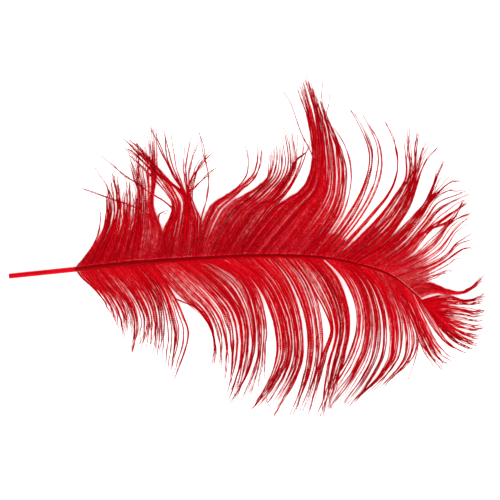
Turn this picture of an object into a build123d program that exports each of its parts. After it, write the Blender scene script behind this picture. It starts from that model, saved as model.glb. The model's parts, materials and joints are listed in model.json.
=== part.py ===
from build123d import *
import math
import os

os.makedirs("parts", exist_ok=True)

# A dyed plume feather, lying on its underside with its outer face up.
# Origin: centre of the cut end of the quill. +X runs from the quill to the tip,
# +Y is the side of the upper vane, +Z is up. All sizes in millimetres.

# quill (calamus): a hollow tube
quill_radius = 0.83
quill_bore_radius = 0.58
quill_length = 21.0
quill_chamfer = 0.08
pulp_cap_thickness = 0.10
pulp_cap_count = 5
pulp_cap_first = 4.0
pulp_cap_pitch = 3.4

# rachis: points on its centre line (x, y) and its radius there
rachis_line = [
    (21.0, 0.0, 0.83),
    (38.0, 0.0, 0.98),
    (58.0, -0.7, 0.94),
    (78.0, -1.7, 0.84),
    (98.0, -4.2, 0.68),
    (110.0, -7.7, 0.55),
    (120.0, -12.2, 0.44),
    (128.0, -20.0, 0.33),
    (134.5, -27.5, 0.20),
]
rachis_arch = 3.2          # how far the middle of the rachis stands above its ends
stem_station_gap = 5.0     # about how far apart the cross-sections of the rachis are
pith_share = 0.62          # pith radius over rachis radius
pith_end = 118.0           # the pith stops short of the thin tip
floor_height = -quill_radius

# locks of barbs
root_gap = 0.12            # clearance between a lock and the side of the rachis
root_fill = 0.80           # root width over the spacing of the roots
lock_thickness = 0.50
tip_thickness = 0.30
tip_width = 0.60
station_count = 7          # cross-sections in each lock
rest_height = floor_height + lock_thickness / 2 + 0.08

# Each lock: root position along the rachis, shoulder, outer bend and tip (x, y),
# width over its middle, height that the tip curls up. A root reaches to the next.
upper_locks = [
    (21.5, (28.6, 7.5), (31.5, 14.0), (32.5, 22.0), 1.5, 2.0),
    (26.0, (32.6, 8.0), (34.6, 16.0), (35.0, 26.0), 1.8, 4.5),
    (29.5, (35.6, 9.0), (37.4, 18.0), (37.2, 27.5), 1.8, 3.0),
    (33.0, (38.8, 9.5), (40.4, 18.5), (41.0, 28.0), 1.8, 6.0),
    (36.5, (42.2, 10.0), (43.6, 20.0), (44.0, 33.0), 1.8, 4.0),
    (40.0, (45.8, 10.0), (47.2, 22.0), (48.8, 40.0), 2.0, 7.0),
    (45.0, (50.9, 9.2), (53.6, 17.0), (50.6, 33.0), 1.6, 5.0),
    (48.5, (54.6, 10.0), (56.4, 19.0), (53.8, 36.0), 1.6, 8.0),
    (52.0, (58.0, 10.4), (59.2, 21.0), (60.6, 38.0), 1.6, 5.5),
    (55.0, (61.2, 10.8), (64.2, 20.0), (65.4, 33.0), 1.3, 3.5),
    (57.6, (66.6, 13.6), (77.6, 21.0), (82.6, 32.5), 1.5, 4.5),
    (61.5, (71.4, 12.6), (81.6, 19.6), (87.0, 32.5), 1.5, 3.5),
    (65.0, (75.8, 12.2), (86.0, 19.6), (90.0, 34.0), 1.5, 5.5),
    (68.5, (80.2, 12.0), (90.2, 20.0), (93.0, 35.5), 1.5, 4.0),
    (72.0, (88.2, 13.4), (97.8, 22.9), (96.4, 49.5), 1.0, 7.5),
    (76.0, (91.0, 11.6), (99.9, 21.6), (98.9, 51.5), 1.1, 9.0),
    (80.5, (93.6, 10.2), (101.6, 20.6), (101.2, 48.5), 1.1, 7.0),
    (85.0, (96.6, 8.8), (103.5, 19.6), (103.4, 45.5), 1.2, 6.0),
    (89.5, (100.0, 7.6), (105.7, 18.6), (105.4, 41.0), 1.3, 4.5),
    (94.0, (104.0, 6.4), (109.2, 18.0), (107.8, 36.0), 1.5, 3.5),
    (97.5, (109.4, 8.0), (116.6, 20.6), (114.4, 39.0), 1.6, 7.0),
    (100.5, (113.6, 7.4), (122.4, 19.0), (121.4, 36.0), 1.6, 5.0),
    (103.5, (118.4, 5.2), (128.0, 15.6), (131.6, 30.0), 2.0, 3.0),
    (108.5, (122.6, 0.6), (131.0, 8.6), (141.6, 14.0), 2.0, 6.5),
    (113.5, (126.6, -4.6), (135.4, 1.0), (146.0, 7.2), 2.0, 4.0),
    (118.5, (130.6, -10.4), (138.6, -6.4), (147.4, -1.6), 2.0, 5.5),
    (123.2, (133.4, -16.6), (140.8, -16.6), (148.6, -13.8), 1.8, 3.0),
]
upper_end = 127.4

lower_locks = [
    (21.5, (27.6, -6.3), (30.8, -11.5), (32.6, -19.0), 1.5, 1.5),
    (26.0, (32.8, -7.2), (36.6, -14.0), (36.6, -26.5), 1.8, 3.0),
    (30.0, (37.2, -7.8), (40.8, -14.6), (40.4, -25.5), 1.8, 5.0),
    (33.8, (41.2, -8.4), (44.2, -16.0), (43.4, -29.0), 1.8, 3.5),
    (37.6, (45.0, -8.8), (47.6, -17.0), (46.6, -31.0), 1.8, 6.0),
    (41.4, (48.8, -9.2), (51.8, -18.0), (50.0, -35.0), 1.8, 4.0),
    (45.3, (54.8, -11.4), (61.2, -20.0), (61.6, -34.0), 1.6, 3.0),
    (48.4, (58.4, -11.0), (64.8, -19.8), (64.8, -38.0), 1.6, 5.0),
    (51.6, (62.0, -10.6), (68.0, -19.6), (67.4, -41.0), 1.6, 3.5),
    (54.8, (65.6, -10.2), (71.0, -19.6), (69.6, -43.5), 1.7, 2.5),
    (58.4, (69.2, -9.8), (73.6, -20.0), (72.0, -45.5), 1.5, 4.5),
    (62.0, (72.8, -10.0), (76.4, -20.8), (74.6, -46.0), 1.6, 6.0),
    (66.2, (76.4, -10.4), (79.6, -22.0), (77.2, -47.0), 1.8, 4.0),
    (70.2, (79.8, -11.0), (82.8, -23.4), (80.0, -48.5), 1.8, 5.5),
    (74.0, (83.2, -11.4), (86.0, -24.2), (83.0, -49.5), 1.8, 3.5),
    (77.6, (86.6, -11.8), (89.2, -24.8), (86.0, -50.5), 1.8, 2.5),
    (81.4, (90.2, -12.2), (92.6, -25.2), (89.2, -52.5), 1.8, 4.5),
    (85.2, (93.6, -12.6), (96.0, -25.6), (92.4, -53.5), 1.8, 6.0),
    (88.6, (97.0, -13.0), (99.4, -26.0), (95.4, -52.5), 1.8, 3.0),
    (92.0, (100.2, -13.4), (102.6, -26.4), (98.4, -51.5), 1.8, 2.0),
    (95.6, (103.4, -13.8), (105.8, -26.6), (101.4, -50.0), 1.8, 3.5),
    (99.2, (107.2, -15.0), (109.6, -27.4), (104.8, -49.0), 2.2, 5.0),
    (103.2, (111.2, -16.4), (113.2, -28.4), (108.4, -47.5), 2.2, 4.0),
    (107.4, (115.2, -18.0), (117.0, -29.4), (112.2, -46.0), 2.2, 5.5),
    (111.8, (119.2, -20.4), (121.0, -30.8), (116.6, -44.5), 2.0, 3.0),
    (116.2, (123.6, -24.2), (126.2, -33.2), (128.4, -41.5), 1.8, 4.0),
    (120.8, (128.8, -27.6), (132.4, -34.6), (138.6, -39.6), 1.7, 2.5),
]
lower_end = 127.6

# tip locks stand on the fine end of the rachis and point along it
tip_locks = [
    (129.0, (135.4, -20.8), (141.6, -21.6), (148.6, -20.8), 1.8, 4.5),
    (131.4, (137.6, -25.0), (142.8, -26.4), (148.0, -27.0), 1.6, 3.0),
]
tip_end = 133.2


def rachis_at(x):
    """Centre line point, unit tangent and radius of the rachis at x."""
    rows = rachis_line
    last = len(rows) - 2
    k = max(i for i in range(last + 1) if rows[i][0] <= x or i == 0)
    before, start, end, after = rows[max(k - 1, 0)], rows[k], rows[k + 1], rows[min(k + 2, last + 1)]
    span = end[0] - start[0]
    t = (x - start[0]) / span
    slope_in = (end[1] - before[1]) / (end[0] - before[0])
    slope_out = (after[1] - start[1]) / (after[0] - start[0])
    y = (
        (2 * t**3 - 3 * t**2 + 1) * start[1]
        + (t**3 - 2 * t**2 + t) * span * slope_in
        + (3 * t**2 - 2 * t**3) * end[1]
        + (t**3 - t**2) * span * slope_out
    )
    slope = (
        (6 * t**2 - 6 * t) * (start[1] - end[1]) / span
        + (3 * t**2 - 4 * t + 1) * slope_in
        + (3 * t**2 - 2 * t) * slope_out
    )
    first, tip = rows[0][0], rows[-1][0]
    along = (x - first) / (tip - first)
    z = rachis_arch * math.sin(math.pi * along) ** 2
    rise = rachis_arch * math.sin(2 * math.pi * along) * math.pi / (tip - first)
    radius = start[2] + (end[2] - start[2]) * t
    return Vector(x, y, z), Vector(1, slope, rise).normalized(), radius


def export_piece(piece, name):
    piece.part.label = name
    export_step(piece.part, f"parts/{name}.step")


# quill: a straight tube, chamfered where it was cut, closed inside by pulp caps
with BuildPart() as quill:
    with BuildSketch(Plane.YZ):
        Circle(quill_radius)
        Circle(quill_bore_radius, mode=Mode.SUBTRACT)
    extrude(amount=quill_length)
    cut_rim = quill.edges().filter_by(GeomType.CIRCLE).group_by(Axis.X)[0].sort_by(SortBy.LENGTH)[-1]
    chamfer(cut_rim, quill_chamfer)
export_piece(quill, "quill_wall")

with BuildPart() as pulp_caps:
    for i in range(pulp_cap_count):
        with BuildSketch(Plane.YZ.offset(pulp_cap_first + i * pulp_cap_pitch)):
            Circle(quill_bore_radius)
        extrude(amount=pulp_cap_thickness)
export_piece(pulp_caps, "quill_pulp_caps")


# rachis: a curved taper, with a core of pith that stops before the thin tip
def rachis_solid(end, share):
    start = rachis_line[0][0]
    gaps = round((end - start) / stem_station_gap)
    with BuildPart() as stem:
        for i in range(gaps + 1):
            centre, tangent, radius = rachis_at(start + (end - start) * i / gaps)
            with BuildSketch(Plane(origin=centre, x_dir=(0, 0, 1), z_dir=tangent)):
                Circle(radius * share)
        loft()
    return stem


pith = rachis_solid(pith_end, pith_share)
export_piece(pith, "rachis_pith")

stem = rachis_solid(rachis_line[-1][0], 1.0)
with BuildPart() as cortex:
    add(stem.part)
    add(pith.part, mode=Mode.SUBTRACT)
export_piece(cortex, "rachis_cortex")


# locks
def lock_station(points, half_root, width, curl, t):
    """Centre, sideways direction, width and thickness of a lock at t, 0 root to 1 tip."""
    spans = [(points[i + 1] - points[i]).length for i in range(3)]
    knots = [0.0, spans[0], spans[0] + spans[1], sum(spans)]
    s = t * knots[-1]
    k = max(i for i in range(3) if knots[i] <= s)
    slopes = [None] * 4
    for i in (1, 2):
        slopes[i] = (points[i + 1] - points[i - 1]) * (1 / (knots[i + 1] - knots[i - 1]))
    slopes[0] = (points[1] - points[0]) * (1.5 / spans[0]) - slopes[1] * 0.5
    slopes[3] = (points[3] - points[2]) * (1.5 / spans[2]) - slopes[2] * 0.5
    h = knots[k + 1] - knots[k]
    v = (s - knots[k]) / h
    place = (
        points[k] * (2 * v**3 - 3 * v**2 + 1)
        + slopes[k] * (h * (v**3 - 2 * v**2 + v))
        + points[k + 1] * (3 * v**2 - 2 * v**3)
        + slopes[k + 1] * (h * (v**3 - v**2))
    )
    heading = (
        (points[k] - points[k + 1]) * ((6 * v**2 - 6 * v) / h)
        + slopes[k] * (3 * v**2 - 4 * v + 1)
        + slopes[k + 1] * (3 * v**2 - 2 * v)
    ).normalized()
    across = Vector(-heading.Y, heading.X, 0)
    if across.dot(half_root) < 0:
        across = across * -1
    blend = min(t / 0.3, 1.0)
    blend = blend * blend * (3 - 2 * blend)
    taper = 1.0 if t < 0.5 else 1.0 - (t - 0.5) / 0.5
    blade_width = tip_width + (width - tip_width) * taper
    offset = half_root * (1 - blend) + across * (blend * blade_width / 2)
    root_height = points[0].Z
    fall = (1 - t) ** 2
    height = root_height * fall + rest_height * (1 - fall) + curl * t**3
    thickness = lock_thickness + (tip_thickness - lock_thickness) * t
    return Vector(place.X, place.Y, height), offset, thickness


def lock_solid(root_start, root_end, bends, width, curl, side):
    middle, tangent, radius = rachis_at((root_start + root_end) / 2)
    outward = Vector(-tangent.Y, tangent.X, 0).normalized() * side
    root = middle + outward * (radius + root_gap)
    half_root = Vector(tangent.X, tangent.Y, 0) * ((root_end - root_start) / 2 * root_fill)
    points = [root] + [Vector(x, y, 0) for x, y in bends]
    with BuildPart() as lock:
        for i in range(station_count):
            t = i / (station_count - 1)
            centre, offset, thickness = lock_station(points, half_root, width, curl, t)
            facing = offset.cross(Vector(0, 0, 1))
            with BuildSketch(Plane(origin=centre, x_dir=offset, z_dir=facing)):
                Rectangle(2 * offset.length, thickness)
        loft()
    return lock


def export_locks(rows, last_root_end, side, name):
    for i, (root_start, *bends, width, curl) in enumerate(rows):
        root_end = rows[i + 1][0] if i + 1 < len(rows) else last_root_end
        lock = lock_solid(root_start, root_end, bends, width, curl, side)
        export_piece(lock, f"{name}_{i + 1:02d}")


export_locks(upper_locks, upper_end, 1, "upper_lock")
export_locks(lower_locks, lower_end, -1, "lower_lock")
export_locks(tip_locks, tip_end, 1, "tip_lock")
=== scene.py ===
import json
import math
import bpy
import numpy as np
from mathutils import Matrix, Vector


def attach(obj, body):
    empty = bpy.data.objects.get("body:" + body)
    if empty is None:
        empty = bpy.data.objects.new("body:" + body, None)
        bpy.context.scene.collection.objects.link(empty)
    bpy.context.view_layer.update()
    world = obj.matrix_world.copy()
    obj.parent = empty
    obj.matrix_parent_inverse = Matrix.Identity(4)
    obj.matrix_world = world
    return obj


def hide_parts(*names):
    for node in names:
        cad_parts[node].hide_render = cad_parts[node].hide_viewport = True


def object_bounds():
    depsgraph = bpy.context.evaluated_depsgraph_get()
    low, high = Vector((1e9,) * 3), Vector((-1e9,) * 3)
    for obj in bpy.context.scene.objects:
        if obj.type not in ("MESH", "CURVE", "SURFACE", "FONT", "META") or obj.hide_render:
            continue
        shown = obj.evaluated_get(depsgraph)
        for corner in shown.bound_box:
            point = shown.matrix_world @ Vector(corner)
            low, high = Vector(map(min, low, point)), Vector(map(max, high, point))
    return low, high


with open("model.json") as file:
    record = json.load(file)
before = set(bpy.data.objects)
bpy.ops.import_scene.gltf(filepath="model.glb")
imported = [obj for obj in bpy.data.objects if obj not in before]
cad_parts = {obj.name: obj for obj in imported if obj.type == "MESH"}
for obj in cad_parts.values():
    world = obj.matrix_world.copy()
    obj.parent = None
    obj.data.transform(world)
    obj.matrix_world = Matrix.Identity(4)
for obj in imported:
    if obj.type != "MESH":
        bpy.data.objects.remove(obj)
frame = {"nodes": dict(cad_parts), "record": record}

# A dyed plume feather lying on a white table, seen from straight above.
# Lengths in the dictionaries are millimetres, and Blender gets metres.
mm = 0.001
chance = np.random.default_rng(21)
cadLow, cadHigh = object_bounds()
print("scene: frame loaded,", len(frame["nodes"]), "nodes")


camera = {
    "lens": 85.0,
    "sensor": 36.0,
    "seenAcross": 158.0,        # width of table in view
    "turn": -5.9,               # degrees, so that the quill rises a little towards the right
    "asideX": 2.2,              # from the middle of the feather
    "asideY": 1.4,
    "clip": (0.01, 20.0),       # metres
}


def makeCamera():
    data = bpy.data.cameras.new("topCamera")
    data.lens = camera["lens"]
    data.sensor_width = camera["sensor"]
    data.clip_start, data.clip_end = camera["clip"]
    cam = bpy.data.objects.new("topCamera", data)
    bpy.context.scene.collection.objects.link(cam)
    high = camera["seenAcross"] * camera["lens"] / camera["sensor"]
    cam.location = (
        (cadLow.x + cadHigh.x) / 2 + camera["asideX"] * mm,
        (cadLow.y + cadHigh.y) / 2 + camera["asideY"] * mm,
        high * mm,
    )
    cam.rotation_euler = (0, 0, math.radians(camera["turn"]))
    bpy.context.scene.camera = cam


makeCamera()


def linear(hexColour):
    parts = [int(hexColour[i:i + 2], 16) / 255 for i in (1, 3, 5)]
    return [c / 12.92 if c <= 0.04045 else ((c + 0.055) / 1.055) ** 2.4 for c in parts] + [1.0]


def addNode(tree, kind, settings=None, values=None, links=None):
    node = tree.nodes.new(kind)
    for name, value in (settings or {}).items():
        setattr(node, name, value)
    for name, value in (values or {}).items():
        node.inputs[name].default_value = value
    for name, source in (links or {}).items():
        tree.links.new(source, node.inputs[name])
    return node


def startMaterial(name):
    made = bpy.data.materials.new(name)
    made.use_nodes = True
    tree = made.node_tree
    tree.nodes.clear()
    return made, tree


def perMetre(size):
    # Noise scale that gives a pattern of this size in millimetres.
    return 1 / (size * mm)


def setRamp(node, stops):
    ramp = node.color_ramp
    while len(ramp.elements) > 1:
        ramp.elements.remove(ramp.elements[-1])
    ramp.elements[0].position = stops[0][0]
    ramp.elements[0].color = linear(stops[0][1])
    for place, colour in stops[1:]:
        ramp.elements.new(place).color = linear(colour)


# Acid-dyed keratin, thin and matt: the dye takes nearly all green and blue, so even
# the gloss comes back red, and each barb has taken the dye a little differently.
def dyedBarbs():
    made, tree = startMaterial("dyedKeratinBarbs")
    tone = addNode(tree, "ShaderNodeAttribute", {"attribute_name": "barbTone"})
    place = addNode(tree, "ShaderNodeTexCoord")
    specks = addNode(tree, "ShaderNodeTexNoise", values={       # half a millimetre, coarse so that it shows
        "Scale": perMetre(0.5263), "Detail": 2.0, "Roughness": 0.6,
    }, links={"Vector": place.outputs["Object"]})
    uneven = addNode(tree, "ShaderNodeMath", {"operation": "MULTIPLY_ADD"}, {1: 0.8, 2: -0.4},
                     {0: specks.outputs["Fac"]})
    dye = addNode(tree, "ShaderNodeMath", {"operation": "ADD"}, None,
                  {0: tone.outputs["Fac"], 1: uneven.outputs["Value"]})
    colour = addNode(tree, "ShaderNodeValToRGB", links={"Fac": dye.outputs["Value"]})
    setRamp(colour, [(0.0, "#98000A"), (0.3, "#BC000C"), (0.55, "#D00010"), (0.8, "#DA1020"),
                     (1.0, "#EC4450")])
    shader = addNode(tree, "ShaderNodeBsdfPrincipled", values={
        "Roughness": 0.5,
        "IOR": 1.54,
        "Specular IOR Level": 0.25,
        "Specular Tint": linear("#FF1424"),
    }, links={"Base Color": colour.outputs["Color"]})
    addNode(tree, "ShaderNodeOutputMaterial", links={"Surface": shader.outputs["BSDF"]})
    return made


# The same keratin grown solid: smooth, slightly waxy, with fine lines along it. It is
# thicker than the barbs, and its colour darkens from the −Y flank over the top to the +Y side: painted shade,
# as if lit from −Y.
def dyedStemPaintedShade():
    made, tree = startMaterial("dyedKeratinStemPaintedShade")
    side = addNode(tree, "ShaderNodeAttribute", {"attribute_name": "stemPaintedShadeSide"})
    paintedShadeBand = addNode(tree, "ShaderNodeValToRGB", links={"Fac": side.outputs["Fac"]})
    # painted shade: dark over the top and the +Y side of the stem, lighter on its −Y flank
    setRamp(paintedShadeBand, [(0.0, "#BC000C"), (0.25, "#A20008"), (0.42, "#860006"), (1.0, "#7E0006")])
    place = addNode(tree, "ShaderNodeTexCoord")
    stretch = addNode(tree, "ShaderNodeMapping", values={        # lines 0.2 mm apart, 6 mm long
        "Scale": (perMetre(6.25), perMetre(0.2), perMetre(0.2)),
    }, links={"Vector": place.outputs["Object"]})
    lines = addNode(tree, "ShaderNodeTexNoise", values={"Scale": 1.0, "Detail": 2.0},
                    links={"Vector": stretch.outputs["Vector"]})
    streaked = addNode(tree, "ShaderNodeMixRGB", {"blend_type": "MULTIPLY"}, {"Fac": 0.25},
                       {"Color1": paintedShadeBand.outputs["Color"], "Color2": lines.outputs["Color"]})
    relief = addNode(tree, "ShaderNodeBump", values={"Strength": 0.3, "Distance": 0.03 * mm},
                     links={"Height": lines.outputs["Fac"]})
    shader = addNode(tree, "ShaderNodeBsdfPrincipled", values={
        "Roughness": 0.38,
        "IOR": 1.54,
        "Specular IOR Level": 0.3,
        "Specular Tint": linear("#FF2030"),
    }, links={"Base Color": streaked.outputs["Color"], "Normal": relief.outputs["Normal"]})
    addNode(tree, "ShaderNodeOutputMaterial", links={"Surface": shader.outputs["BSDF"]})
    return made


# The bare quill: thin, hard and glossier, with the dye in long faint streaks.
def dyedQuill():
    made, tree = startMaterial("dyedKeratinQuill")
    place = addNode(tree, "ShaderNodeTexCoord")
    stretch = addNode(tree, "ShaderNodeMapping", values={        # streaks 1 mm apart, 8 mm long
        "Scale": (perMetre(8.333), perMetre(1.111), perMetre(1.111)),
    }, links={"Vector": place.outputs["Object"]})
    streaks = addNode(tree, "ShaderNodeTexNoise", values={"Scale": 1.0, "Detail": 3.0},
                      links={"Vector": stretch.outputs["Vector"]})
    colour = addNode(tree, "ShaderNodeValToRGB", links={"Fac": streaks.outputs["Fac"]})
    setRamp(colour, [(0.3, "#B4000E"), (0.5, "#C80012"), (0.7, "#D8081E")])
    relief = addNode(tree, "ShaderNodeBump", values={"Strength": 0.25, "Distance": 0.03 * mm},
                     links={"Height": streaks.outputs["Fac"]})
    shader = addNode(tree, "ShaderNodeBsdfPrincipled", values={
        "Roughness": 0.35,
        "IOR": 1.54,
        "Specular IOR Level": 0.35,
        "Specular Tint": linear("#FF3040"),
    }, links={"Base Color": colour.outputs["Color"], "Normal": relief.outputs["Normal"]})
    addNode(tree, "ShaderNodeOutputMaterial", links={"Surface": shader.outputs["BSDF"]})
    return made


# Foamed keratin inside the stem: paler, because its cells scatter the light.
def dyedPith():
    made, tree = startMaterial("dyedPithFoam")
    place = addNode(tree, "ShaderNodeTexCoord")
    cells = addNode(tree, "ShaderNodeTexNoise", values={"Scale": perMetre(0.125), "Detail": 2.0},
                    links={"Vector": place.outputs["Object"]})
    colour = addNode(tree, "ShaderNodeValToRGB", links={"Fac": cells.outputs["Fac"]})
    setRamp(colour, [(0.3, "#C83A48"), (0.7, "#E08088")])
    shader = addNode(tree, "ShaderNodeBsdfPrincipled", values={"Roughness": 0.8},
                     links={"Base Color": colour.outputs["Color"]})
    addNode(tree, "ShaderNodeOutputMaterial", links={"Surface": shader.outputs["BSDF"]})
    return made


barbMaterial = dyedBarbs()
stemMaterial = dyedStemPaintedShade()
quillMaterial = dyedQuill()
pithMaterial = dyedPith()
print("scene: materials done")


rachis = {
    "line": [                   # x, y, radius along the stem
        (21.0, 0.0, 0.83), (38.0, 0.0, 0.98), (58.0, -0.7, 0.94), (78.0, -1.7, 0.84),
        (98.0, -4.2, 0.68), (110.0, -7.7, 0.55), (120.0, -12.2, 0.44),
        (128.0, -20.0, 0.33), (134.5, -27.5, 0.20),
    ],
    "arch": 3.2,                # how far the middle stands above the ends
    "sides": 24,
    "rings": 120,
    "ridge": 0.10,              # the top is a low roof, about this share of the radius high
    "ridgeLevel": 0.7,          # 0 only raises the ridge, 1 only sinks the flanks beside it
    "smoothTo": 50.0,           # degrees, so that only the end rims stay sharp
}


def rachisAt(x):
    # Middle, heading and radius of the stem at x, on a smooth curve through its line.
    rows = rachis["line"]
    last = len(rows) - 2
    k = max(i for i in range(last + 1) if rows[i][0] <= x or i == 0)
    before, start, end, after = rows[max(k - 1, 0)], rows[k], rows[k + 1], rows[min(k + 2, last + 1)]
    span = end[0] - start[0]
    t = (x - start[0]) / span
    slopeIn = (end[1] - before[1]) / (end[0] - before[0])
    slopeOut = (after[1] - start[1]) / (after[0] - start[0])
    y = ((2 * t**3 - 3 * t**2 + 1) * start[1] + (t**3 - 2 * t**2 + t) * span * slopeIn
         + (3 * t**2 - 2 * t**3) * end[1] + (t**3 - t**2) * span * slopeOut)
    slope = ((6 * t**2 - 6 * t) * (start[1] - end[1]) / span
             + (3 * t**2 - 4 * t + 1) * slopeIn + (3 * t**2 - 2 * t) * slopeOut)
    first, tip = rows[0][0], rows[-1][0]
    along = (x - first) / (tip - first)
    z = rachis["arch"] * math.sin(math.pi * along) ** 2
    radius = start[2] + (end[2] - start[2]) * t
    heading = np.array([1.0, slope]) / math.hypot(1.0, slope)
    return np.array([x, y, z]), heading, radius


def giveMaterial(piece, material):
    piece.data.materials.clear()
    piece.data.materials.append(material)


def makeRachis():
    first, tip = rachis["line"][0][0], rachis["line"][-1][0]
    bpy.ops.object.select_all(action="DESELECT")
    bpy.ops.mesh.primitive_cylinder_add(vertices=rachis["sides"], radius=1, depth=1, end_fill_type="NGON")
    piece = bpy.context.object
    piece.name = "rachisShell"
    bpy.ops.object.mode_set(mode="EDIT")
    bpy.ops.mesh.select_mode(type="EDGE")
    bpy.ops.mesh.select_all(action="DESELECT")
    bpy.ops.object.mode_set(mode="OBJECT")
    for edge in piece.data.edges:       # the long edges of the cylinder
        a, b = (piece.data.vertices[i].co for i in edge.vertices)
        edge.select = abs(a.z - b.z) > 0.5
    bpy.ops.object.mode_set(mode="EDIT")
    bpy.ops.mesh.subdivide_edgering(number_cuts=rachis["rings"] - 1, interpolation="LINEAR")
    bpy.ops.object.mode_set(mode="OBJECT")
    sides = []
    for vertex in piece.data.vertices:
        along = min(max(vertex.co.z + 0.5, 0), 1)
        angle = math.atan2(vertex.co.y, vertex.co.x)        # 0 up, a quarter turn towards +Y
        centre, heading, radius = rachisAt(first + (tip - first) * along)
        up, out = math.cos(angle), math.sin(angle)
        roof = 1 + rachis["ridge"] * (abs(math.cos(angle * 2)) - rachis["ridgeLevel"]) * max(up, 0)
        sides.append(0.5 + 0.5 * out)
        vertex.co = Vector((
            centre[0] - heading[1] * out * radius * roof,
            centre[1] + heading[0] * out * radius * roof,
            centre[2] + up * radius * roof,
        )) * mm
    # A share across the stem, 0 on its −Y flank and 1 on its +Y flank, for the painted shade in the stem
    # material.
    shade = piece.data.attributes.new("stemPaintedShadeSide", "FLOAT", "POINT")
    shade.data.foreach_set("value", sides)
    bpy.ops.object.mode_set(mode="EDIT")
    bpy.ops.mesh.select_all(action="SELECT")
    bpy.ops.mesh.normals_make_consistent(inside=False)
    bpy.ops.object.mode_set(mode="OBJECT")
    bpy.ops.object.shade_smooth_by_angle(angle=math.radians(rachis["smoothTo"]))
    giveMaterial(piece, stemMaterial)
    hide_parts("rachis_cortex")
    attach(piece, "stem")


makeRachis()
giveMaterial(frame["nodes"]["quill_wall"], quillMaterial)
giveMaterial(frame["nodes"]["quill_pulp_caps"], quillMaterial)
giveMaterial(frame["nodes"]["rachis_pith"], pithMaterial)
print("scene: stem done")


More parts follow.
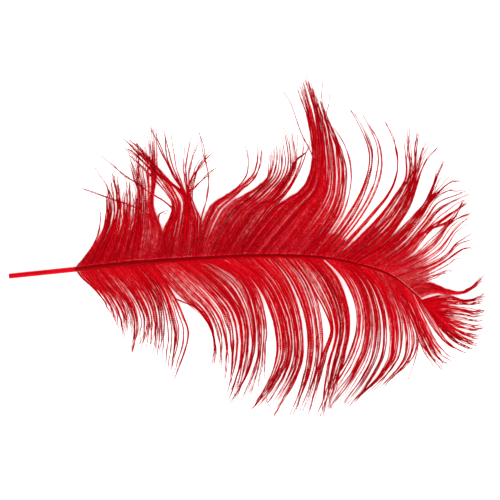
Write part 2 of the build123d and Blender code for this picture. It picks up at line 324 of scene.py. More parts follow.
# X runs from the quill's cut end towards the tip, and Y across the feather.
# Rows of a vane: root from, root to, then four points on the barb in the middle of the
# row, gather (0 spread evenly, 1 all in one strand), fray at the tip, how far the web
# reaches from the root, height that the tip curls up.
# Rows in one group pass into each other; a slit parts one group from the next.
upperVane = {
    "side": 1,
    "name": "upper",
    # Where each lock starts on the stem.
    "locks": [21.5, 26.0, 29.5, 33.0, 36.5, 40.0, 45.0, 48.5, 52.0, 55.0, 57.6, 61.5, 65.0, 68.5,
              72.0, 76.0, 80.5, 85.0, 89.5, 94.0, 97.5, 100.5, 103.5, 108.5, 113.5, 118.5, 123.2],
    "pitch": 0.34,              # from barb to barb along the stem
    "cling": 1.0,               # how much neighbours cling, 1 usual
    "tone": 0.10,               # how much paler the web is
    "fluffRoot": (0.50, 0.50),  # barbules of the web, at the quill end and at the tip end
    "mat": 1.0,                 # how much longer they are in the broad locks
    "fluffOut": 0.18,           # barbules past the web
    "reach": 0.01,              # how much further the loose ends run
    "seat": (0.8, 0.8),         # where barbs leave the stem, share of its radius, at both ends
    "groups": [
        [                       # the very first barbs
            (21.3, 21.9, (25.0, 3.9), (28.4, 8.6), (30.3, 14.5), (30.6, 20.5), 0.6, 0.5, 6, 2.0),
        ],
        [                       # small upright tufts, up to the round gap
            (21.9, 25.0, (28.0, 6.6), (31.4, 11.5), (33.0, 16.5), (33.4, 23.0), 0.1, 0.6, 15, 3.0),
            (25.0, 28.0, (30.6, 8.0), (33.6, 13.5), (34.7, 18.5), (34.2, 27.5), 0.2, 0.7, 17, 4.0),
            (28.0, 31.0, (33.6, 9.0), (35.8, 14.5), (36.8, 19.0), (36.4, 29.5), 0.25, 0.7, 17, 3.0),
            (31.0, 33.2, (36.0, 9.5), (37.6, 14.0), (38.2, 18.0), (38.6, 22.0), 0.1, 0.5, 17, 3.5),
            (33.2, 35.6, (38.0, 10.0), (39.4, 15.5), (40.4, 20.5), (41.2, 28.5), 0.35, 0.5, 20, 4.5),
            (35.6, 37.6, (40.0, 10.0), (41.4, 14.0), (42.2, 17.0), (42.6, 19.5), 0.1, 0.4, 17, 4.0),
            (37.6, 40.4, (41.8, 10.0), (43.0, 17.0), (43.8, 24.0), (41.6, 35.5), 0.35, 0.9, 24, 4.5),
            (40.4, 42.0, (43.6, 10.0), (44.8, 15.0), (45.2, 21.0), (45.0, 32.0), 0.3, 0.8, 18, 5.0),
            (42.0, 46.6, (47.3, 8.4), (46.7, 17.0), (48.4, 26.0), (49.2, 40.5), 0.3, 0.6, 32, 6.0),
        ],
        [                       # crossed tufts
            (46.6, 49.4, (50.9, 8.8), (54.2, 16.5), (51.8, 22.5), (42.0, 36.0), 0.3, 1.0, 20, 4.5),
            (49.4, 51.6, (53.9, 10.4), (55.6, 16.5), (53.4, 23.5), (45.0, 37.5), 0.3, 1.0, 20, 5.5),
            (51.6, 53.4, (56.6, 12.0), (57.2, 19.0), (51.6, 26.2), (40.6, 39.0), 0.3, 0.8, 20, 7.0),
            (53.4, 55.6, (58.0, 12.0), (58.0, 19.5), (54.6, 28.5), (51.7, 43.3), 0.5, 0.35, 24, 6.0),
            (55.6, 57.4, (59.0, 12.0), (59.0, 19.5), (59.4, 30.0), (63.2, 40.3), 0.5, 0.4, 22, 5.0),
            (57.4, 58.6, (60.4, 12.0), (59.6, 18.5), (62.6, 26.0), (69.2, 32.4), 0.2, 0.9, 18, 3.5),
            (58.6, 59.6, (61.6, 11.5), (60.4, 17.0), (58.9, 22.0), (57.0, 30.0), 0.3, 0.5, 12, 4.0),
        ],
        [                       # low shoulder with a ragged edge
            (58.4, 61.0, (66.6, 14.2), (73.0, 18.6), (80.6, 24.0), (83.0, 33.5), 0.5, 0.6, 34, 4.5),
            (61.0, 63.4, (70.2, 12.8), (77.2, 17.6), (84.6, 22.8), (87.0, 33.5), 0.4, 0.5, 33, 3.5),
            (63.4, 65.4, (72.8, 12.4), (80.0, 17.4), (87.2, 23.4), (88.8, 32.7), 0.4, 0.4, 33, 3.5),
            (65.4, 67.2, (75.2, 12.0), (82.4, 17.0), (88.8, 23.6), (89.8, 33.0), 0.35, 0.6, 33, 4.5),
            (67.2, 69.0, (77.6, 12.0), (85.0, 17.0), (91.6, 24.6), (90.9, 39.0), 0.5, 0.5, 32, 5.0),
            (69.0, 70.8, (80.0, 12.0), (87.2, 17.0), (93.4, 25.8), (93.5, 36.8), 0.5, 0.4, 31, 4.5),
            (70.8, 72.6, (83.4, 12.2), (89.2, 17.0), (94.4, 23.8), (98.0, 34.0), 0.2, 1.4, 26, 4.0),
        ],
        [                       # the broad tall lock, open on its far side
            (72.6, 75.6, (86.6, 12.2), (96.6, 18.6), (100.0, 31.0), (96.6, 50.0), 0.1, 0.7, 56, 7.5),
            (75.6, 78.6, (89.6, 11.6), (98.2, 18.4), (100.8, 31.5), (97.6, 51.5), 0.2, 0.7, 56, 8.5),
            (78.6, 81.6, (92.8, 11.0), (99.6, 18.0), (101.6, 32.0), (99.2, 52.5), 0.2, 0.7, 54, 9.0),
            (81.6, 84.4, (95.0, 10.4), (101.0, 17.6), (102.6, 32.0), (100.4, 51.8), 0.2, 0.7, 50, 7.5),
            (84.4, 87.0, (97.2, 9.8), (102.4, 17.2), (103.6, 31.5), (101.2, 49.0), 0.2, 0.8, 20, 6.5),
            (87.0, 89.6, (99.4, 9.0), (104.0, 16.8), (105.0, 30.5), (102.6, 46.0), 0.1, 0.8, 13, 5.5),
            (89.6, 92.2, (101.6, 8.4), (105.8, 16.4), (106.6, 29.5), (103.6, 43.5), 0.1, 0.7, 12, 4.5),
            (92.2, 95.0, (104.0, 7.6), (107.8, 15.5), (108.8, 26.5), (104.2, 40.5), 0.1, 0.5, 11, 4.5),
        ],
        [                       # short barbs that fill in below the single ones
            (94.8, 99.2, (98.6, -1.5), (100.2, 0.1), (101.7, 1.6), (103.2, 3.1), 0.0, 0.4, 14, 0.5),
            (99.2, 104.4, (103.6, -3.7), (105.1, -2.3), (106.7, -0.9), (108.4, 0.6), 0.0, 0.4, 14, 0.5),
        ],
        [                       # single strands, each a group of its own
            (95.6, 96.4, (106.7, 8.4), (110.7, 19.0), (109.8, 30.0), (105.2, 38.3), 0.7, 0.3, 9, 3.5),
        ],
        [
            (96.8, 99.0, (109.2, 8.1), (115.4, 18.4), (117.2, 28.0), (111.4, 42.6), 0.55, 0.5, 12, 7.0),
        ],
        [
            (99.1, 99.8, (111.2, 7.6), (118.0, 18.6), (119.2, 28.5), (114.4, 40.4), 0.6, 0.3, 10, 6.0),
        ],
        [
            (100.0, 100.8, (112.5, 7.3), (119.2, 18.4), (120.2, 28.5), (114.4, 41.0), 0.6, 0.3, 10, 6.0),
        ],
        [
            (101.4, 102.6, (115.0, 6.6), (123.6, 16.0), (125.8, 26.0), (122.0, 38.0), 0.65, 0.3, 12, 5.0),
        ],
        [                       # brush
            (103.2, 105.4, (117.2, 4.6), (124.6, 12.6), (128.6, 18.6), (129.6, 31.5), 0.3, 1.6, 18, 3.0),
            (105.4, 107.6, (119.2, 3.2), (126.8, 11.6), (130.6, 19.2), (131.6, 32.6), 0.3, 1.8, 19, 3.0),
            (107.6, 109.6, (121.0, 1.6), (128.4, 10.4), (132.2, 19.4), (136.4, 27.0), 0.3, 1.6, 17, 3.5),
        ],
        [                       # branching tufts and the loose barbs beyond them
            (109.6, 111.4, (122.4, -0.4), (130.2, 6.6), (134.4, 11.6), (139.6, 22.0), 0.3, 1.2, 16, 5.0),
            (111.4, 113.4, (123.8, -2.0), (131.6, 5.6), (136.2, 11.2), (144.6, 15.2), 0.3, 1.2, 16, 6.5),
            (113.4, 115.4, (124.8, -3.8), (132.0, 2.8), (137.4, 8.6), (147.0, 11.4), 0.3, 1.0, 15, 5.0),
            (115.4, 117.4, (126.2, -5.8), (133.4, 0.8), (139.6, 4.2), (147.6, 9.0), 0.35, 1.0, 13, 4.0),
            (117.4, 119.2, (127.6, -7.6), (135.0, -2.8), (140.2, 2.6), (148.2, 5.4), 0.3, 0.8, 12, 4.0),
            (119.2, 120.8, (128.8, -9.2), (136.6, -5.2), (141.6, 0.6), (146.6, 4.6), 0.3, 0.7, 12, 5.0),
            (120.8, 122.2, (129.8, -10.9), (137.0, -8.2), (142.2, -3.4), (148.2, -1.2), 0.5, 0.5, 10, 5.5),
            (122.2, 123.6, (130.6, -12.6), (137.6, -9.8), (143.0, -7.2), (149.2, -7.0), 0.5, 0.5, 10, 3.5),
            (123.6, 124.6, (131.2, -14.6), (134.0, -14.3), (136.0, -14.2), (138.0, -14.0), 0.4, 0.3, 8, 3.0),
        ],
        [                       # the lock that curls up beside the tip
            (124.6, 126.8, (132.0, -16.6), (137.4, -18.8), (142.4, -19.4), (149.2, -14.6), 0.2, 0.6, 20, 3.0),
            (126.8, 128.6, (133.0, -18.6), (138.0, -19.8), (143.2, -19.8), (149.0, -16.2), 0.2, 0.6, 18, 3.0),
        ],
    ],
    # Barbs that stray: root, points, how many, how wide, tip height.
    "strays": [
        (49.6, [(49.3, 9.5), (48.0, 12.5), (42.0, 17.3), (35.0, 20.8), (25.0, 25.5)], 2, 0.3, 3.5),
        (51.0, [(53.6, 11.0), (53.2, 16.3), (46.0, 22.5), (38.0, 29.5), (33.0, 34.7)], 2, 0.3, 5.0),
        (47.5, [(48.7, 10.0), (48.7, 13.2), (49.6, 14.7), (51.5, 15.1), (53.0, 14.6)], 2, 0.3, 1.0),
        (27.0, [(33.5, 10.0), (35.2, 18.0), (34.6, 23.0), (30.3, 31.8)], 1, 0.2, 3.0),
        (31.0, [(36.4, 12.0), (37.0, 20.0), (36.6, 25.0), (36.0, 30.0)], 1, 0.2, 3.0),
        (32.0, [(37.0, 12.0), (37.4, 20.0), (37.3, 28.5)], 1, 0.2, 3.0),
        (54.5, [(57.6, 12.0), (57.5, 20.0), (53.0, 25.0), (45.5, 33.5), (40.5, 39.5)], 3, 0.5, 5.0),
        (55.0, [(57.8, 12.0), (57.8, 19.0), (50.0, 27.2), (43.0, 34.5), (40.5, 36.8)], 3, 0.5, 4.5),
        (54.0, [(57.8, 12.0), (58.0, 20.0), (54.6, 28.0), (53.6, 33.0), (54.0, 38.5)], 2, 0.4, 6.0),
        (58.9, [(60.6, 12.0), (59.0, 20.0), (60.5, 24.8), (65.0, 29.5), (69.2, 32.8)], 2, 0.3, 3.5),
        (59.0, [(60.4, 12.0), (59.2, 21.0), (62.0, 26.0), (68.5, 31.0)], 1, 0.2, 4.0),
        (58.6, [(60.4, 13.0), (59.0, 20.3), (61.0, 21.5), (65.5, 25.0), (70.5, 28.0)], 2, 0.3, 3.0),
        (59.8, [(62.5, 12.0), (64.5, 18.0), (65.9, 25.0), (64.8, 37.0), (64.0, 41.8)], 2, 0.2, 6.0),
        (60.2, [(67.0, 15.8), (74.0, 19.9), (78.5, 25.5), (78.2, 35.4)], 2, 0.3, 4.0),
        (71.0, [(83.0, 12.6), (91.0, 21.8), (94.0, 26.8), (97.8, 29.6), (98.8, 31.2)], 4, 0.5, 3.5),
        (73.4, [(87.0, 12.6), (95.6, 19.0), (99.2, 26.0), (96.5, 35.0), (94.0, 44.5), (90.7, 50.0)],
         1, 0.2, 6.0),
        (92.0, [(103.0, 9.0), (108.0, 22.0), (105.0, 37.0), (103.8, 44.0), (104.7, 51.0)], 1, 0.2, 6.0),
        (93.0, [(104.0, 9.0), (108.6, 22.0), (104.6, 39.0), (105.8, 44.0), (106.2, 49.0)], 1, 0.2, 5.0),
        (40.0, [(43.8, 17.0), (43.6, 24.0), (44.4, 30.0), (45.0, 38.5)], 2, 0.3, 5.0),
        (103.8, [(116.5, 5.0), (125.0, 13.4), (129.6, 19.6), (129.4, 26.0), (129.8, 33.4)], 3, 0.7, 3.0),
        (105.0, [(118.6, 4.0), (126.4, 12.6), (130.4, 19.6), (131.6, 26.4), (132.8, 32.4)], 3, 0.7, 3.5),
        (107.0, [(120.4, 2.4), (127.8, 11.6), (131.4, 19.6), (133.2, 25.0), (135.6, 29.2)], 3, 0.7, 3.0),
        (108.4, [(121.6, 1.6), (128.8, 11.4), (132.6, 19.6), (135.4, 23.6), (139.0, 26.6)], 3, 0.7, 3.5),
        (110.0, [(123.0, -1.0), (127.0, 2.0), (131.0, 6.0), (134.4, 10.5), (136.2, 15.0), (140.2, 23.0)],
         4, 0.7, 4.0),
        (110.8, [(124.0, 0.0), (129.0, 4.2), (133.8, 8.8), (137.5, 11.4), (141.4, 12.3), (147.2, 11.2)],
         2, 0.4, 5.0),
        (111.2, [(124.2, -0.4), (129.6, 4.6), (134.2, 9.6), (138.5, 13.4), (142.0, 15.0), (145.6, 15.3)],
         2, 0.4, 5.5),
        (115.0, [(125.6, -4.4), (130.0, -0.8), (134.0, 1.2), (140.2, 3.2), (143.4, 7.0), (145.0, 9.4)],
         4, 0.8, 4.0),
    ],
}
lowerVane = {
    "side": -1,
    "name": "lower",
    "locks": [21.5, 26.0, 30.0, 33.8, 37.6, 41.4, 45.3, 48.4, 51.6, 54.8, 58.4, 62.0, 66.2, 70.2,
              74.0, 77.6, 81.4, 85.2, 88.6, 92.0, 95.6, 99.2, 103.2, 107.4, 111.8, 116.2, 120.8],
    "pitch": 0.34,
    "cling": 1.0,
    "tone": -0.07,
    "fluffRoot": (0.25, 0.085),
    "mat": 3.2,
    "fluffOut": 0.17,
    "reach": 0.07,
    "seat": (0.7, 0.3),
    "groups": [
        [                       # short tufts beside the quill
            (21.3, 23.6, (24.6, -4.2), (27.4, -7.8), (29.4, -11.4), (30.6, -15.8), 0.1, 0.6, 10, 1.5),
            (23.6, 26.4, (28.2, -5.8), (31.2, -10.2), (33.2, -15.6), (34.2, -23.6), 0.1, 0.8, 12, 1.5),
            (26.4, 29.0, (31.0, -6.0), (34.2, -11.0), (36.0, -16.5), (36.4, -21.0), 0.1, 0.8, 18, 2.0),
            (29.0, 32.0, (34.4, -7.0), (37.6, -13.5), (38.4, -20.0), (36.0, -28.5), 0.3, 0.7, 24, 3.0),
            (32.0, 35.0, (38.0, -7.4), (41.0, -13.5), (42.0, -19.0), (39.8, -26.4), 0.35, 0.7, 17, 5.0),
            (35.0, 38.0, (41.2, -7.6), (43.8, -14.5), (44.0, -21.0), (42.8, -28.6), 0.3, 0.9, 17, 3.5),
            (38.0, 41.2, (44.4, -8.0), (46.8, -15.0), (46.6, -22.5), (45.0, -30.6), 0.25, 1.0, 17, 6.0),
            (41.2, 43.2, (47.4, -8.4), (49.4, -16.0), (50.0, -24.5), (48.0, -34.5), 0.2, 0.9, 14, 4.0),
            (43.2, 45.3, (49.6, -9.6), (52.4, -17.6), (53.4, -24.5), (48.2, -37.0), 0.25, 0.9, 14, 4.0),
        ],
        [                       # long loose barbs that curve back
            (45.3, 48.0, (54.2, -11.6), (60.0, -18.4), (62.4, -26.5), (61.0, -35.0), 0.2, 0.7, 14, 3.0),
            (48.0, 51.0, (57.6, -10.6), (63.4, -19.0), (65.2, -27.5), (64.2, -37.2), 0.1, 0.9, 12, 5.0),
            (51.0, 54.0, (61.2, -10.2), (66.6, -18.6), (67.8, -27.5), (66.0, -40.5), 0.1, 0.9, 14, 3.5),
            (54.0, 57.0, (64.8, -10.4), (70.2, -20.0), (69.6, -33.0), (64.4, -45.2), 0.15, 0.6, 44, 2.5),
            (57.0, 60.4, (68.6, -10.2), (72.9, -20.5), (72.0, -32.5), (68.0, -44.5), 0.15, 0.7, 42, 2.5),
            (60.4, 63.0, (72.2, -9.0), (75.5, -20.5), (74.2, -33.5), (65.0, -47.6), 0.2, 0.7, 12, 4.5),
            (63.0, 65.4, (74.0, -9.4), (77.0, -21.0), (75.6, -34.5), (69.8, -46.4), 0.2, 0.6, 12, 5.5),
            (65.4, 67.7, (75.9, -9.8), (78.8, -21.5), (77.4, -34.0), (75.5, -43.0), 0.2, 0.6, 12, 5.0),
        ],
        [                       # long lock
            (67.8, 70.6, (78.0, -10.4), (82.0, -23.0), (81.0, -35.5), (73.2, -47.4), 0.25, 0.6, 24, 4.0),
            (70.6, 74.4, (80.6, -11.0), (84.6, -23.5), (83.6, -36.0), (71.4, -49.8), 0.25, 0.6, 30, 3.5),
            (74.4, 77.4, (83.2, -11.4), (86.8, -24.0), (85.6, -36.5), (78.0, -48.0), 0.2, 0.8, 14, 3.0),
            (77.4, 79.8, (85.4, -11.8), (88.4, -24.5), (87.2, -37.5), (80.0, -47.5), 0.2, 0.8, 12, 3.0),
            (79.8, 82.8, (87.2, -12.0), (89.9, -25.0), (88.4, -37.5), (78.8, -51.0), 0.25, 0.6, 14, 4.5),
        ],
        [                       # narrow long lock
            (82.8, 85.2, (89.6, -12.0), (92.4, -25.0), (90.6, -38.0), (84.4, -51.8), 0.2, 0.6, 14, 6.0),
            (85.2, 87.0, (91.6, -12.3), (94.0, -25.5), (92.4, -38.0), (87.0, -49.5), 0.2, 0.6, 12, 4.0),
            (87.0, 89.0, (93.8, -12.5), (96.0, -26.0), (94.2, -38.5), (88.2, -54.0), 0.3, 0.5, 24, 3.0),
        ],
        [                       # long lock whose near edge bends in
            (89.0, 91.6, (95.5, -12.7), (99.8, -26.5), (96.0, -36.5), (90.4, -48.8), 0.2, 0.5, 30, 2.0),
            (91.6, 94.0, (98.8, -12.9), (101.6, -26.5), (97.4, -40.0), (94.4, -54.5), 0.2, 0.4, 44, 3.5),
            (94.0, 96.4, (101.0, -12.8), (103.4, -26.0), (98.6, -40.5), (91.2, -54.8), 0.2, 0.6, 40, 3.5),
            (96.4, 98.8, (103.0, -12.4), (105.2, -25.0), (101.8, -38.0), (95.6, -51.5), 0.2, 0.7, 16, 4.0),
        ],
        [                       # wide lock towards the tip
            (99.2, 102.2, (106.8, -13.4), (108.7, -25.0), (104.6, -36.5), (96.0, -46.5), 0.2, 0.5, 30, 5.0),
            (102.2, 105.4, (109.8, -14.4), (111.3, -26.5), (107.4, -38.0), (95.2, -52.2), 0.2, 0.5, 44, 4.0),
            (105.4, 108.2, (112.4, -15.4), (113.9, -27.0), (111.0, -38.5), (99.6, -51.6), 0.2, 0.8, 18, 5.5),
            (108.2, 110.8, (114.8, -16.6), (116.4, -28.0), (113.8, -39.0), (101.4, -52.6), 0.2, 0.7, 14, 4.0),
            (110.8, 113.2, (117.2, -18.2), (118.6, -29.0), (116.0, -39.5), (104.0, -49.8), 0.2, 0.7, 14, 3.0),
            (113.2, 115.4, (119.4, -20.2), (120.6, -30.0), (118.0, -39.5), (105.4, -49.4), 0.2, 0.7, 14, 3.0),
            (115.4, 117.4, (121.6, -22.2), (122.6, -31.0), (120.4, -39.0), (111.0, -47.6), 0.2, 0.6, 14, 3.0),
            (117.4, 119.4, (123.6, -24.2), (125.4, -32.5), (123.4, -38.5), (114.8, -45.6), 0.2, 0.6, 20, 3.0),
        ],
        [                       # barbs that turn out towards the tip
            (119.4, 121.6, (125.2, -25.4), (127.2, -33.0), (129.0, -38.5), (132.0, -43.6), 0.3, 1.0, 14, 4.0),
            (121.6, 124.0, (127.2, -26.8), (129.4, -34.0), (131.6, -38.6), (135.4, -42.0), 0.3, 0.9, 14, 3.0),
            (124.0, 126.0, (129.0, -27.6), (131.4, -34.0), (134.2, -38.2), (138.0, -41.0), 0.3, 0.6, 14, 2.5),
        ],
        [                       # the last ones before the tip
            (126.4, 128.6, (131.6, -28.4), (134.2, -33.6), (137.2, -36.8), (141.6, -39.2), 0.2, 0.5, 16, 2.5),
        ],
    ],
    "strays": [
        (44.9, [(50.2, -9.0), (51.2, -12.0), (53.5, -13.8), (56.5, -15.3), (59.5, -18.5)], 2, 0.3, 3.0),
        (71.0, [(80.6, -11.0), (84.4, -24.0), (81.6, -38.0), (77.0, -46.6), (80.2, -51.6)], 1, 0.2, 3.0),
        (92.0, [(99.0, -13.0), (101.8, -26.0), (97.4, -40.0), (96.4, -49.5), (98.5, -54.0)], 1, 0.2, 3.0),
        (118.5, [(124.6, -25.0), (126.4, -33.0), (124.6, -39.5), (120.9, -46.7)], 1, 0.2, 3.0),
    ],
}
# The stem's thin end has barbs on both sides, which share the two tip locks.
tipBarbs = {
    "side": 1,
    "name": "tip",
    "locks": [128.6, 131.4],
    "pitch": 0.14,
    "cling": 0.5,
    "tone": -0.05,
    "fluffRoot": (0.15, 0.15),
    "mat": 1.0,
    "fluffOut": 0.07,
    "reach": 0.03,
    "seat": (0.2, 0.2),
    "groups": [
        [
            (128.8, 130.0, (134.6, -20.8), (138.6, -21.2), (143.0, -22.4), (149.0, -20.4), 0.2, 0.6, 9, 3.0),
            (130.0, 131.2, (135.6, -22.4), (140.0, -23.2), (145.0, -24.0), (148.8, -22.8), 0.2, 0.6, 9, 3.5),
            (131.2, 132.2, (136.4, -24.2), (141.0, -25.2), (145.4, -26.4), (149.0, -26.0), 0.2, 0.6, 8, 2.5),
            (132.2, 133.0, (137.0, -26.2), (141.4, -27.4), (145.0, -28.4), (148.2, -27.8), 0.2, 0.6, 8, 2.5),
            (133.0, 133.8, (137.6, -28.0), (141.6, -29.4), (145.0, -30.2), (148.0, -29.8), 0.2, 0.6, 7, 2.5),
            (133.8, 134.4, (138.0, -29.6), (141.6, -31.2), (144.6, -32.0), (147.6, -31.6), 0.2, 0.6, 7, 2.5),
        ],
    ],
    "strays": [],
}
tipUnder = {
    "side": -1,
    "name": "tip",
    "locks": [128.6, 131.4],
    "pitch": 0.24,
    "cling": 0.8,
    "tone": -0.05,
    "fluffRoot": (0.20, 0.20),
    "mat": 1.0,
    "fluffOut": 0.11,
    "reach": 0.03,
    "seat": (0.0, 0.0),
    "groups": [
        [
            (128.6, 130.4, (133.4, -28.8), (136.2, -33.0), (139.2, -35.8), (143.6, -38.0), 0.2, 0.6, 12, 2.5),
            (130.4, 132.0, (134.8, -29.0), (137.8, -32.4), (141.0, -34.8), (144.8, -36.8), 0.2, 0.6, 10, 2.5),
            (132.0, 133.6, (136.0, -29.4), (139.2, -32.2), (142.2, -34.0), (146.0, -35.6), 0.2, 0.6, 8, 2.5),
            (133.6, 134.4, (137.4, -30.2), (140.8, -32.4), (143.6, -33.6), (147.0, -34.0), 0.2, 0.6, 7, 2.5),
        ],
    ],
    "strays": [],
}
barb = {
    "shaft": 0.095,             # half width of the bare barb
    "thick": 0.06,              # half thickness
    "thinning": 0.42,           # share of its width that a barb loses at its end
    "strayThinning": 0.10,
    "thinFrom": 0.75,           # share of its length where it starts to thin
    "step": 0.34,               # barbule spacing, drawn coarse so that it shows
    "stepOut": 0.60,            # spacing past the web
    "lean": 0.8,                # barbules point forwards by this share of their length
    "tilt": 0.14,               # they overlap like roof tiles
    "rest": -0.5,               # height of a barb that lies on the table
    "lowest": -0.74,            # just clear of the table
    "uneven": (-0.10, 0.14),    # some lie a little lower or higher than others
    "rootSink": 0.97,           # the root sits a little way into the stem
    "tipEndFrom": 42.0,         # along the stem: values change here from quill end to tip end
    "tipEndFull": 58.0,
    "wander": 0.12,             # slow wave to the side
    "waves": (6, 14),           # radians from root to end
    "ripple": 0.042,            # finer wave
    "ripples": (25, 50),
    "kink": 0.14,               # the bare end is wavier than the root
    "kinks": (14, 34),
    "webRagged": (0.8, 1.25),   # where the web ends, from barb to barb
    "webFade": 0.65,            # share of the web where it starts to end
    "matFrom": 28.0,            # locks with a web this long start to mat more
    "matFull": 40.0,
    "fluffy": (0.7, 1.25),      # barbule length, from barb to barb
    "swell": (2.0, 6.0),        # and in slow waves this long
    "swellDepth": 0.25,
    "fluffEnd": 0.8,            # share that the barbules lose towards the end
    "grain": 0.17,              # dye differs from barbule to barbule
    "dyeWave": 0.10,            # and along the barb
    "endDye": 0.35,             # the bare end is darker by this
    "strand": (0.5, 1.7),       # neighbours that cling in one strand, mm of stem
    "strandCling": (0.05, 0.30, 0.70, 0.72),        # at each of the four points
    "strandSlip": (0.05, 0.12, 0.22, 0.30),
    "strandDye": (0.5, 0.10),   # usual dye, and how much it differs
    "strandLift": 0.4,          # ends curl up more or less by this
    "sheaf": (2.5, 6.0),        # strands that lie in one sheaf
    "sheafCling": (0.02, 0.08, 0.14, 0.15),
    "gather": (0.15, 0.6, 0.9, 0.8),        # how strongly a row gathers at each point
    "spread": (1.25, 0.9, 0.6, 0.5),        # in a group of one row, mm for each mm of stem
    "stray": (0.02, 0.04, 0.07, 0.25),      # each barb beside its place
    "dye": 0.12,                # and its own dye and curl
    "lift": 0.15,
    "longer": 0.05,             # ends differ in length by these shares
    "shorter": 0.05,
    "shortest": 0.8,
    "pitchVaries": (0.8, 1.2),  # spacing along the stem
    "strayDye": (0.42, 0.08),   # barbs that cross the others
    "strayWeb": 8.0,
    "strayLift": 0.25,          # they lie on top
    "strayPitch": 0.5,          # spread of their roots
}


def smooth(t):
    t = np.clip(t, 0, 1)
    return t * t * (3 - 2 * t)


def ease(x, start, end):
    # 0 before start, 1 past end.
    return smooth((x - start) / (end - start))


def alongStem(pair, rootX):
    # From the quill end's value to the tip end's.
    return pair[0] + (pair[1] - pair[0]) * ease(rootX, barb["tipEndFrom"], barb["tipEndFull"])


def threadPath(points, t):
    # Smooth line through the points, evaluated at shares t of its length.
    points = np.asarray(points, float)
    spans = np.linalg.norm(np.diff(points, axis=0), axis=1)
    knots = np.concatenate([[0], np.cumsum(spans)])
    slopes = np.zeros_like(points)
    slopes[1:-1] = (points[2:] - points[:-2]) / (knots[2:] - knots[:-2])[:, None]
    slopes[0] = (points[1] - points[0]) * 1.5 / spans[0] - slopes[1] * 0.5
    slopes[-1] = (points[-1] - points[-2]) * 1.5 / spans[-1] - slopes[-2] * 0.5
    s = np.clip(t, 0, 1) * knots[-1]
    k = np.clip(np.searchsorted(knots, s, side="right") - 1, 0, len(spans) - 1)
    h = spans[k][:, None]
    v = ((s - knots[k]) / spans[k])[:, None]
    return (points[k] * (2 * v**3 - 3 * v**2 + 1) + slopes[k] * h * (v**3 - 2 * v**2 + v)
            + points[k + 1] * (3 * v**2 - 2 * v**3) + slopes[k + 1] * h * (v**3 - v**2))


def headingsOf(line):
    # Forwards and to the left, at each point of the line.
    step = np.gradient(line, axis=0)
    ahead = step / np.maximum(np.linalg.norm(step, axis=1), 1e-9)[:, None]
    return ahead, np.stack([-ahead[:, 1], ahead[:, 0]], axis=1)


def strandRings(line, height, fluff, shaft):
    # A closed flat strand: four corners a ring, every second ring wide where barbules stand.
    ahead, left = headingsOf(line)
    wide = (np.arange(len(line)) % 2).astype(float)
    reach = shaft + fluff * wide
    push = fluff * wide * barb["lean"]
    thick = barb["thick"] * shaft / barb["shaft"]
    rings = np.zeros((len(line), 4, 3))
    for corner, way in ((0, 1), (2, -1)):
        rings[:, corner, :2] = line + left * (reach * way)[:, None] + ahead * push[:, None]
        rings[:, corner, 2] = height + barb["tilt"] * way * fluff * wide
    for corner, way in ((1, 1), (3, -1)):
        rings[:, corner, :2] = line
        rings[:, corner, 2] = height + thick * way
    return rings.reshape(-1, 3)


def strandFaces(count, first):
    # The sides between the rings of one strand, and a cap at each end.
    k = np.arange(count - 1)[:, None] * 4 + first
    sides = []
    for c in range(4):
        d = (c + 1) % 4
        sides.append(np.concatenate([k + c, k + d, k + d + 4, k + c + 4], axis=1))
    end = first + (count - 1) * 4
    caps = [[first + 3, first + 2, first + 1, first], [end, end + 1, end + 2, end + 3]]
    return np.concatenate(sides).tolist() + caps


def ringPlaces(length, web):
    # How far from the root the rings stand: close together in the web, wider past it.
    near = np.arange(0, min(web, length * 0.9), barb["step"] / 2)
    far = np.arange(near[-1] + barb["stepOut"] / 2, length, barb["stepOut"] / 2)
    along = np.concatenate([near, far])
    if len(along) % 2 == 0:
        along = along[:-1]          # the last ring is a narrow one
    return along


def wavesAside(t, share, phase):
    slow = chance.normal(0, barb["wander"]) * np.sin(t * chance.uniform(*barb["waves"]) + phase[0])
    fine = chance.normal(0, barb["ripple"]) * np.sin(t * chance.uniform(*barb["ripples"]) + phase[1])
    kinks = chance.normal(0, barb["kink"]) * np.sin(share * chance.uniform(*barb["kinks"]) + phase[1])
    return (slow + fine) * smooth(t * 1.8) + kinks * ease(share, 0.5, 0.9)


def heightAlong(rootHeight, curl, t):
    # Down from the stem to the table, then up again where the end curls.
    fall = (1 - t) ** 2
    height = rootHeight * fall + barb["rest"] * (1 - fall) + curl * t**3
    return np.maximum(height + chance.uniform(*barb["uneven"]) * smooth(t * 3), barb["lowest"])


def barbulesAlong(vane, rootX, web, along, share, matted, phase):
    inWeb = alongStem(vane["fluffRoot"], rootX)
    inWeb = inWeb * (1 + (vane["mat"] - 1) * ease(web, barb["matFrom"], barb["matFull"]))
    fluff = (inWeb * matted + vane["fluffOut"] * (1 - matted)) * chance.uniform(*barb["fluffy"])
    swell = np.sin(along * 2 * np.pi / chance.uniform(*barb["swell"]) + phase[1]) * smooth(along / 3)
    fluff = fluff * (0.85 + barb["swellDepth"] * swell)
    fluff = fluff * (1 - ease(share, 0.7, 1) * barb["fluffEnd"])
    fluff = fluff * smooth(along / 0.7 + 0.15)          # shorter right at the stem
    return fluff * (0.7 + 0.6 * chance.random(len(along)))


def dyeAlong(vane, tone, t, share, matted, phase):
    dye = tone + vane["tone"] * matted + barb["dyeWave"] * np.sin(t * 9 + phase[0])
    dye = dye - barb["endDye"] * ease(share, 0.3, 0.9) * (1 - matted)
    return np.clip(dye + chance.normal(0, barb["grain"], len(t)), 0, 1)


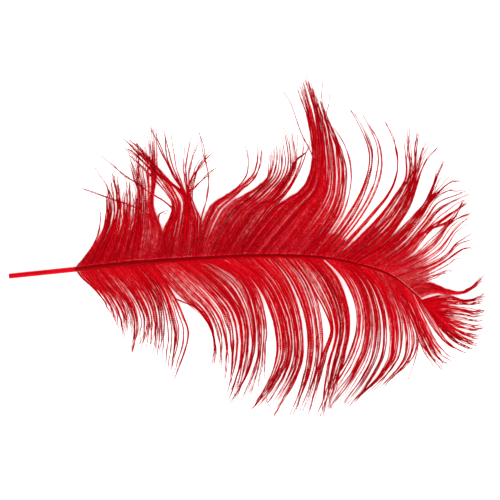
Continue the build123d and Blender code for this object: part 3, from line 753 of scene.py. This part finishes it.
def makeStrand(vane, rootX, points, web, curl, ends, tone, thinning):
    # One barb from the side of the stem through the points, with its barbules.
    centre, heading, radius = rachisAt(rootX)
    outward = np.array([-heading[1], heading[0]]) * vane["side"]
    seat = alongStem(vane["seat"], rootX)
    rootHeight = centre[2] + radius * math.sqrt(1 - seat**2) * barb["rootSink"]
    controls = [centre[:2] + outward * radius * seat] + [np.asarray(p, float) for p in points]
    length = sum(np.linalg.norm(b - a) for a, b in zip(controls, controls[1:]))
    along = ringPlaces(length * ends, web)
    t = along / length
    share = t / t[-1]
    line = threadPath(controls, t)
    left = headingsOf(line)[1]
    phase = chance.uniform(0, 6.3, 2)
    line = line + left * wavesAside(t, share, phase)[:, None]
    height = heightAlong(rootHeight, curl, t)
    webEnd = web * chance.uniform(*barb["webRagged"])
    matted = 1 - ease(along, webEnd * barb["webFade"], webEnd)
    fluff = barbulesAlong(vane, rootX, web, along, share, matted, phase)
    shaft = barb["shaft"] * (1 - ease(share, barb["thinFrom"], 1) * thinning)
    dye = dyeAlong(vane, tone, t, share, matted, phase)
    return strandRings(line, height, fluff, shaft), np.repeat(dye, 4), len(t)


def between(roots, values, r, spread):
    # Value at root r, and past the end rows the same slope goes on.
    if len(roots) == 1:
        return values[0] + np.array([spread, -0.3]) * (r - roots[0])
    k = int(np.clip(np.searchsorted(roots, r) - 1, 0, len(roots) - 2))
    share = (r - roots[k]) / (roots[k + 1] - roots[k])
    return values[k] * (1 - share) + values[k + 1] * share


def clumpEdges(start, end, size):
    edges = [start]
    while edges[-1] < end:
        edges.append(edges[-1] + chance.uniform(*size))
    edges[-1] = end
    return edges


def clumpAt(edges, rootX):
    # Which clump this root is in, and the clump's middle.
    k = int(np.clip(np.searchsorted(edges, rootX) - 1, 0, len(edges) - 2))
    return k, (edges[k] + edges[k + 1]) / 2


def aside(before, after):
    run = np.asarray(after, float) - np.asarray(before, float)
    return np.array([-run[1], run[0]]) / np.linalg.norm(run)


def lockAt(vane, rootX):
    return max(k for k, start in enumerate(vane["locks"]) if rootX >= start or k == 0)


def growGroup(vane, group, grown):
    start, end = group[0][0], group[-1][1]
    roots = [(row[0] + row[1]) / 2 for row in group]
    guides = [[np.array(row[2 + i], float) for row in group] for i in range(4)]
    strands = clumpEdges(start, end, barb["strand"])
    sheaves = clumpEdges(start, end, barb["sheaf"])
    tones = chance.normal(*barb["strandDye"], len(strands))
    lifts = chance.normal(0, barb["strandLift"], len(strands))
    slips = chance.normal(0, 1, len(strands))
    rootX = start + min(vane["pitch"], (end - start) / 2) / 2
    while rootX < end:
        row = next(row for row in group if rootX <= row[1])
        middle = (row[0] + row[1]) / 2
        gather, fray, web, curl = row[6:]
        strand, strandRoot = clumpAt(strands, rootX)
        sheafRoot = clumpAt(sheaves, rootX)[1]
        places = []
        for i in range(4):
            r = rootX + (strandRoot - rootX) * barb["strandCling"][i] * vane["cling"]
            r = r + (sheafRoot - r) * barb["sheafCling"][i]
            r = r + (middle - r) * gather * barb["gather"][i]
            places.append(between(roots, guides[i], r, barb["spread"][i]))
        across = [aside(places[max(i - 1, 0)], places[min(i + 1, 3)]) for i in range(4)]
        for i in range(4):
            loose = fray if i == 3 else 1
            places[i] = places[i] + across[i] * slips[strand] * barb["strandSlip"][i] * loose
            places[i] = places[i] + across[i] * chance.normal(0, barb["stray"][i] * loose)
        places[3] = places[3] + (places[3] - places[2]) * chance.normal(vane["reach"], barb["longer"])
        ends = max(1 - abs(chance.normal(0, barb["shorter"])), barb["shortest"])
        tone = tones[strand] + chance.normal(0, barb["dye"])
        curl = curl + lifts[strand] + chance.normal(0, barb["lift"])
        grown[lockAt(vane, rootX)].append(
            makeStrand(vane, rootX, places, web, curl, ends, tone, barb["thinning"]))
        rootX += vane["pitch"] * chance.uniform(*barb["pitchVaries"])


def growStrays(vane, grown):
    for rootX, points, count, wide, curl in vane["strays"]:
        last = len(points) - 1
        for i in range(count):
            offset = (i + 0.5) / count - 0.5
            moved = []
            for k in range(last + 1):
                way = aside(points[max(k - 1, 0)], points[min(k + 1, last)])
                moved.append(np.array(points[k]) + way * (offset * wide + chance.normal(0, 0.05)))
            ends = 1 - abs(chance.normal(0, 0.04))
            tone = chance.normal(*barb["strayDye"])
            strand = makeStrand(vane, rootX + offset * barb["strayPitch"], moved, barb["strayWeb"],
                                curl, ends, tone, barb["strayThinning"])
            strand[0][:, 2] += barb["strayLift"]
            grown[lockAt(vane, rootX)].append(strand)


def growVane(vane):
    # The strands of each lock of the vane.
    grown = [[] for _ in vane["locks"]]
    for group in vane["groups"]:
        growGroup(vane, group, grown)
    growStrays(vane, grown)
    return grown


def bodyOfNode(name):
    for body, members in frame["record"]["behaviour"]["bodies"].items():
        if name in members:
            return body


def makePieces(vane, grown):
    barbs = triangles = 0
    for k, strands in enumerate(grown):
        node = f"{vane['name']}_lock_{k + 1:02d}"
        faces = []
        first = 0
        for rings, dye, count in strands:
            faces += strandFaces(count, first)
            first += count * 4
        corners = np.concatenate([rings for rings, dye, count in strands])
        dyes = np.concatenate([dye for rings, dye, count in strands])
        mesh = bpy.data.meshes.new(f"{vane['name']}Barbs{k + 1:02d}")
        mesh.from_pydata((corners * mm).tolist(), [], faces)
        tones = mesh.attributes.new("barbTone", "FLOAT", "POINT")
        tones.data.foreach_set("value", dyes.astype(np.float32))
        mesh.shade_smooth()
        piece = bpy.data.objects.new(mesh.name, mesh)
        bpy.context.scene.collection.objects.link(piece)
        giveMaterial(piece, barbMaterial)
        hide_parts(node)
        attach(piece, bodyOfNode(node))
        barbs += len(strands)
        triangles += len(faces) * 2
    print(f"scene: {vane['name']} barbs done, {barbs} barbs, {triangles} triangles")


for vane in (upperVane, lowerVane):
    makePieces(vane, growVane(vane))
tipStrands = [above + under for above, under in zip(growVane(tipBarbs), growVane(tipUnder))]
makePieces(tipBarbs, tipStrands)


studio = {
    "floor": 6.0,               # metres across
    "floorGap": 0.02,
    "floorColour": "#FAFAFA",
    "floorGlow": 0.50,          # lifts the shadows on the card towards white
    "world": 0.95,
    "key": 1.3,
    "keySoft": 40.0,            # degrees across, a large soft box
    "keyTilt": 38.0,
    "keyTurn": -25.0,
}


def makeStudio():
    bpy.ops.object.select_all(action="DESELECT")
    floorHeight = cadLow.z - studio["floorGap"] * mm
    bpy.ops.mesh.primitive_plane_add(size=studio["floor"], location=(0.07, 0, floorHeight))
    floor = bpy.context.object
    floor.name = "table"
    made, tree = startMaterial("whiteCard")     # matt white card, pale and even
    shader = addNode(tree, "ShaderNodeBsdfPrincipled", values={
        "Base Color": linear(studio["floorColour"]), "Roughness": 0.9, "Specular IOR Level": 0.1,
        "Emission Color": (1, 1, 1, 1), "Emission Strength": studio["floorGlow"]})
    addNode(tree, "ShaderNodeOutputMaterial", links={"Surface": shader.outputs["BSDF"]})
    giveMaterial(floor, made)
    world = bpy.data.worlds.new("studio")
    world.use_nodes = True
    world.node_tree.nodes["Background"].inputs["Color"].default_value = (1, 1, 1, 1)
    world.node_tree.nodes["Background"].inputs["Strength"].default_value = studio["world"]
    bpy.context.scene.world = world
    data = bpy.data.lights.new("softKey", "SUN")
    data.energy = studio["key"]
    data.angle = math.radians(studio["keySoft"])
    key = bpy.data.objects.new("softKey", data)
    bpy.context.scene.collection.objects.link(key)
    key.rotation_euler = (math.radians(studio["keyTilt"]), 0, math.radians(studio["keyTurn"]))
    bpy.context.scene.view_settings.view_transform = "Standard"


makeStudio()
print("scene: studio done")
